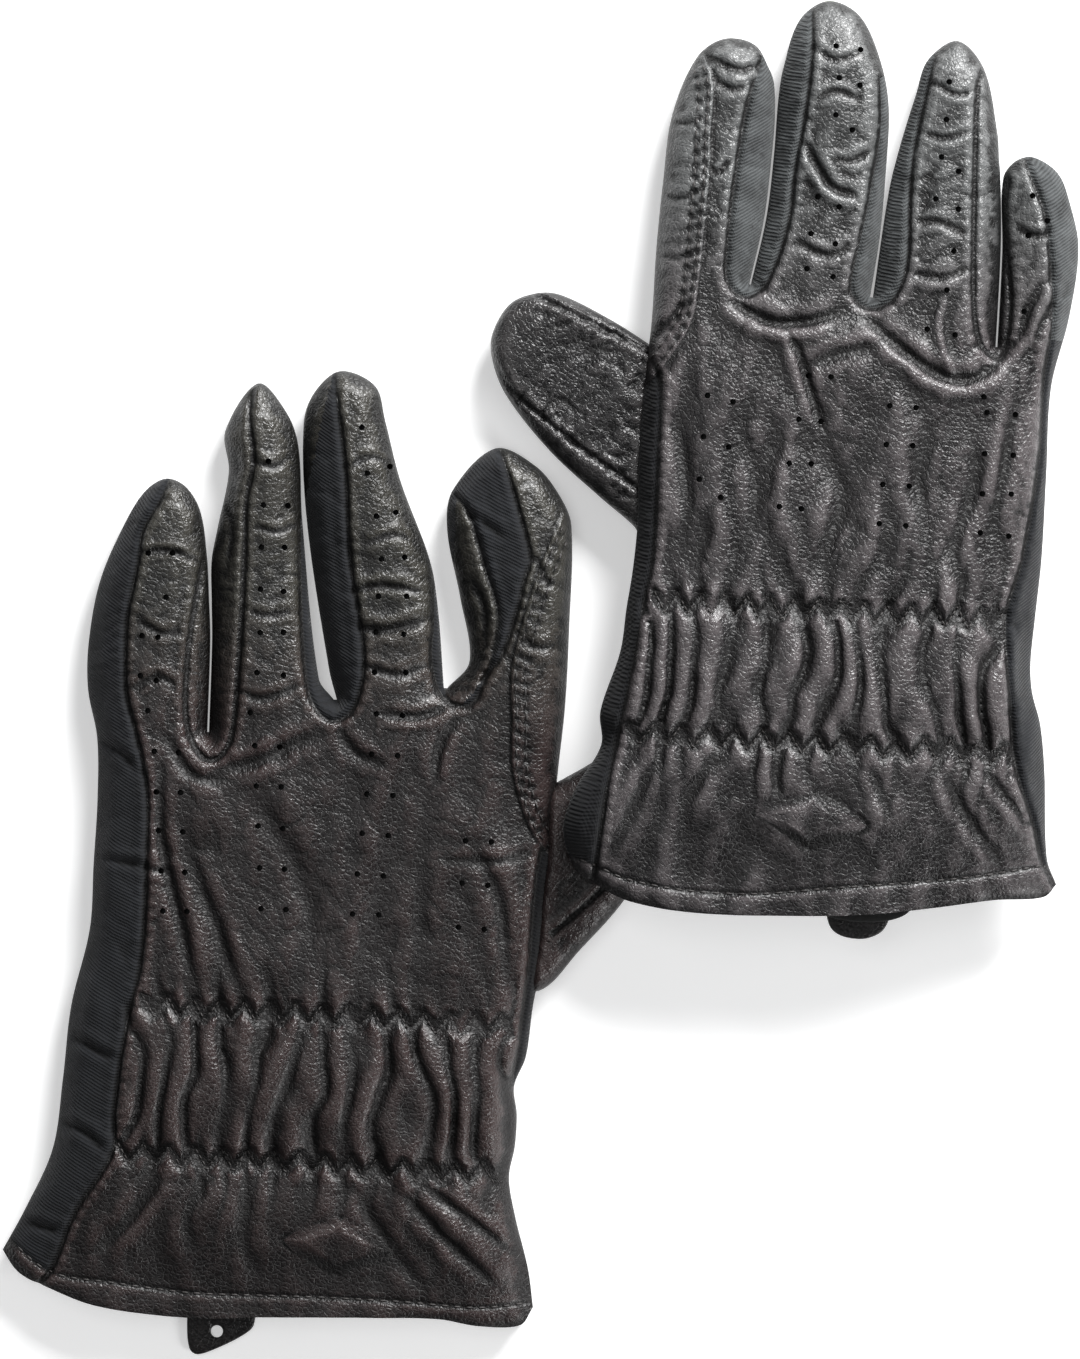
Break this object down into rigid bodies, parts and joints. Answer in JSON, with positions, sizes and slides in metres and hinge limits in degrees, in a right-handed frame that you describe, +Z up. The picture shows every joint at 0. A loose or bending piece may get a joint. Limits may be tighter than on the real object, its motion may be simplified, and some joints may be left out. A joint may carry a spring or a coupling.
{
  "type": "pair of riding gloves",
  "caption": "Pair of black leather and stretch-fabric riding gloves laid flat, with bending fingers, gathered wrists and a closure tab under each cuff.",
  "frame": {"origin": "middle of the pair's footprint, on the surface that it lies on", "axes": "+Y towards the fingertips, +Z up from the palms to the backs of the hands, +X from the left glove towards the right glove"},
  "size_m": [0.2632, 0.3392, 0.028],
  "materials": {
    "back_leather": "fine grained, semi-matt",
    "palm_leather": "smooth grained, semi-matt",
    "finger_leather": "fine grained, semi-matt",
    "thumb_leather": "fine grained, semi-matt",
    "cuff_leather": "fine grained, turned and stitched",
    "tab_leather": "smooth grained, semi-matt",
    "patch_leather": "smooth, double stitched",
    "stretch_fabric": "matt twill with stretch",
    "finger_fabric": "matt twill with stretch",
    "knit_strip": "ribbed knit",
    "elastic": "woven elastic",
    "hook_tape": "hook tape",
    "loop_tape": "napped loop tape"
  },
  "bodies": {
    "left_hand": {"left_back_panel": "back_leather", "left_palm_panel": "palm_leather", "left_outer_side_panel": "stretch_fabric", "left_thumb_side_panel": "knit_strip", "left_wrist_elastics": "elastic", "left_cuff_hem": "cuff_leather", "left_loop_pad": "loop_tape"},
    "left_tab": {"left_closure_tab": "tab_leather", "left_hook_pad": "hook_tape"},
    "left_index_lower": {"left_index_lower_back": "finger_leather", "left_index_lower_sleeve": "finger_fabric", "left_rein_patch": "patch_leather"},
    "left_index_upper": {"left_index_upper_back": "finger_leather", "left_index_upper_sleeve": "finger_fabric"},
    "left_middle_lower": {"left_middle_lower_back": "finger_leather", "left_middle_lower_sleeve": "finger_fabric"},
    "left_middle_upper": {"left_middle_upper_back": "finger_leather", "left_middle_upper_sleeve": "finger_fabric"},
    "left_ring_lower": {"left_ring_lower_back": "finger_leather", "left_ring_lower_sleeve": "finger_fabric"},
    "left_ring_upper": {"left_ring_upper_back": "finger_leather", "left_ring_upper_sleeve": "finger_fabric"},
    "left_little_lower": {"left_little_lower_back": "finger_leather", "left_little_lower_sleeve": "finger_fabric"},
    "left_little_upper": {"left_little_upper_back": "finger_leather", "left_little_upper_sleeve": "finger_fabric"},
    "left_thumb_lower": {"left_thumb_lower_back": "finger_leather", "left_thumb_lower_sleeve": "thumb_leather"},
    "left_thumb_upper": {"left_thumb_upper_back": "finger_leather", "left_thumb_upper_sleeve": "thumb_leather"},
    "right_hand": {"right_back_panel": "back_leather", "right_palm_panel": "palm_leather", "right_outer_side_panel": "stretch_fabric", "right_thumb_side_panel": "knit_strip", "right_wrist_elastics": "elastic", "right_cuff_hem": "cuff_leather", "right_loop_pad": "loop_tape"},
    "right_tab": {"right_closure_tab": "tab_leather", "right_hook_pad": "hook_tape"},
    "right_index_lower": {"right_index_lower_back": "finger_leather", "right_index_lower_sleeve": "finger_fabric", "right_rein_patch": "patch_leather"},
    "right_index_upper": {"right_index_upper_back": "finger_leather", "right_index_upper_sleeve": "finger_fabric"},
    "right_middle_lower": {"right_middle_lower_back": "finger_leather", "right_middle_lower_sleeve": "finger_fabric"},
    "right_middle_upper": {"right_middle_upper_back": "finger_leather", "right_middle_upper_sleeve": "finger_fabric"},
    "right_ring_lower": {"right_ring_lower_back": "finger_leather", "right_ring_lower_sleeve": "finger_fabric"},
    "right_ring_upper": {"right_ring_upper_back": "finger_leather", "right_ring_upper_sleeve": "finger_fabric"},
    "right_little_lower": {"right_little_lower_back": "finger_leather", "right_little_lower_sleeve": "finger_fabric"},
    "right_little_upper": {"right_little_upper_back": "finger_leather", "right_little_upper_sleeve": "finger_fabric"},
    "right_thumb_lower": {"right_thumb_lower_back": "finger_leather", "right_thumb_lower_sleeve": "thumb_leather"},
    "right_thumb_upper": {"right_thumb_upper_back": "finger_leather", "right_thumb_upper_sleeve": "thumb_leather"}
  },
  "joints": [
    {"name": "left_index_root", "type": "hinge", "parent": "left_hand", "child": "left_index_lower", "pos_m": [-0.01505, -0.00753, 0], "axis": [-1, 0.007, 0], "range_deg": [0, 75], "stiffness_Nm_per_rad": 0.02},
    {"name": "left_index_bend", "type": "hinge", "parent": "left_index_lower", "child": "left_index_upper", "pos_m": [-0.01482, 0.02547, 0], "axis": [-1, 0.007, 0], "range_deg": [0, 80], "stiffness_Nm_per_rad": 0.02},
    {"name": "left_middle_root", "type": "hinge", "parent": "left_hand", "child": "left_middle_lower", "pos_m": [-0.04549, -0.00572, 0], "axis": [-0.9888, -0.1495, 0], "range_deg": [0, 75], "stiffness_Nm_per_rad": 0.02},
    {"name": "left_middle_bend", "type": "hinge", "parent": "left_middle_lower", "child": "left_middle_upper", "pos_m": [-0.0517, 0.03531, 0], "axis": [-0.9888, -0.1495, 0], "range_deg": [0, 80], "stiffness_Nm_per_rad": 0.02},
    {"name": "left_ring_root", "type": "hinge", "parent": "left_hand", "child": "left_ring_lower", "pos_m": [-0.07574, -0.00893, 0], "axis": [-0.9996, -0.0279, 0], "range_deg": [0, 75], "stiffness_Nm_per_rad": 0.02},
    {"name": "left_ring_bend", "type": "hinge", "parent": "left_ring_lower", "child": "left_ring_upper", "pos_m": [-0.0769, 0.03255, 0], "axis": [-0.9996, -0.0279, 0], "range_deg": [0, 80], "stiffness_Nm_per_rad": 0.02},
    {"name": "left_little_root", "type": "hinge", "parent": "left_hand", "child": "left_little_lower", "pos_m": [-0.10572, -0.01616, 0], "axis": [-0.9963, 0.0854, 0], "range_deg": [0, 75], "stiffness_Nm_per_rad": 0.02},
    {"name": "left_little_bend", "type": "hinge", "parent": "left_little_lower", "child": "left_little_upper", "pos_m": [-0.1029, 0.01671, 0], "axis": [-0.9963, 0.0854, 0], "range_deg": [0, 80], "stiffness_Nm_per_rad": 0.02},
    {"name": "left_thumb_root", "type": "hinge", "parent": "left_hand", "child": "left_thumb_lower", "pos_m": [0.00428, -0.04474, 0], "axis": [-0.6639, 0.7478, 0], "range_deg": [0, 50], "stiffness_Nm_per_rad": 0.02},
    {"name": "left_thumb_bend", "type": "hinge", "parent": "left_thumb_lower", "child": "left_thumb_upper", "pos_m": [0.01954, -0.0312, 0], "axis": [-0.6639, 0.7478, 0], "range_deg": [0, 70], "stiffness_Nm_per_rad": 0.02},
    {"name": "left_tab_fold", "type": "hinge", "parent": "left_hand", "child": "left_tab", "pos_m": [-0.08423, -0.13505, 0], "axis": [0.9982, -0.0593, 0], "range_deg": [0, 110], "stiffness_Nm_per_rad": 0.004},
    {"name": "right_index_root", "type": "hinge", "parent": "right_hand", "child": "right_index_lower", "pos_m": [0.0301, 0.09742, 0.00459], "axis": [-0.9851, 0.1717, -0.007], "range_deg": [0, 75], "stiffness_Nm_per_rad": 0.02},
    {"name": "right_index_bend", "type": "hinge", "parent": "right_index_lower", "child": "right_index_upper", "pos_m": [0.03552, 0.12839, 0.00265], "axis": [-0.9851, 0.1717, -0.007], "range_deg": [0, 80], "stiffness_Nm_per_rad": 0.02},
    {"name": "right_middle_root", "type": "hinge", "parent": "right_hand", "child": "right_middle_lower", "pos_m": [0.06055, 0.09561, 0.00459], "axis": [-0.9991, 0.0419, 0.0011], "range_deg": [0, 75], "stiffness_Nm_per_rad": 0.02},
    {"name": "right_middle_bend", "type": "hinge", "parent": "right_middle_lower", "child": "right_middle_upper", "pos_m": [0.0621, 0.13251, 0.0023], "axis": [-0.9991, 0.0419, 0.0011], "range_deg": [0, 80], "stiffness_Nm_per_rad": 0.02},
    {"name": "right_ring_root", "type": "hinge", "parent": "right_hand", "child": "right_ring_lower", "pos_m": [0.0902, 0.08885, 0.0049], "axis": [-0.9982, 0.0593, 0], "range_deg": [0, 75], "stiffness_Nm_per_rad": 0.02},
    {"name": "right_ring_bend", "type": "hinge", "parent": "right_ring_lower", "child": "right_ring_upper", "pos_m": [0.0923, 0.12422, 0.0027], "axis": [-0.9982, 0.0593, 0], "range_deg": [0, 80], "stiffness_Nm_per_rad": 0.02},
    {"name": "right_little_root", "type": "hinge", "parent": "right_hand", "child": "right_little_lower", "pos_m": [0.11912, 0.07813, 0.00545], "axis": [-0.9997, 0.0245, 0.0022], "range_deg": [0, 75], "stiffness_Nm_per_rad": 0.02},
    {"name": "right_little_bend", "type": "hinge", "parent": "right_little_lower", "child": "right_little_upper", "pos_m": [0.11975, 0.10408, 0.00384], "axis": [-0.9997, 0.0245, 0.0022], "range_deg": [0, 80], "stiffness_Nm_per_rad": 0.02},
    {"name": "right_thumb_root", "type": "hinge", "parent": "right_hand", "child": "right_thumb_lower", "pos_m": [0.00886, 0.06868, 0.00645], "axis": [-0.5933, -0.8033, 0.052], "range_deg": [0, 50], "stiffness_Nm_per_rad": 0.02},
    {"name": "right_thumb_bend", "type": "hinge", "parent": "right_thumb_lower", "child": "right_thumb_upper", "pos_m": [-0.00707, 0.08041, 0.00578], "axis": [-0.5933, -0.8033, 0.052], "range_deg": [0, 70], "stiffness_Nm_per_rad": 0.02},
    {"name": "right_tab_fold", "type": "hinge", "parent": "right_hand", "child": "right_tab", "pos_m": [0.07473, -0.03661, 0.01273], "axis": [0.9982, -0.0593, 0], "range_deg": [0, 110], "stiffness_Nm_per_rad": 0.004},
    {"name": "right_lift", "type": "slide", "parent": "left_hand", "child": "right_hand", "axis": [0, 0, 1], "range_m": [0, 0.12]}
  ]
}
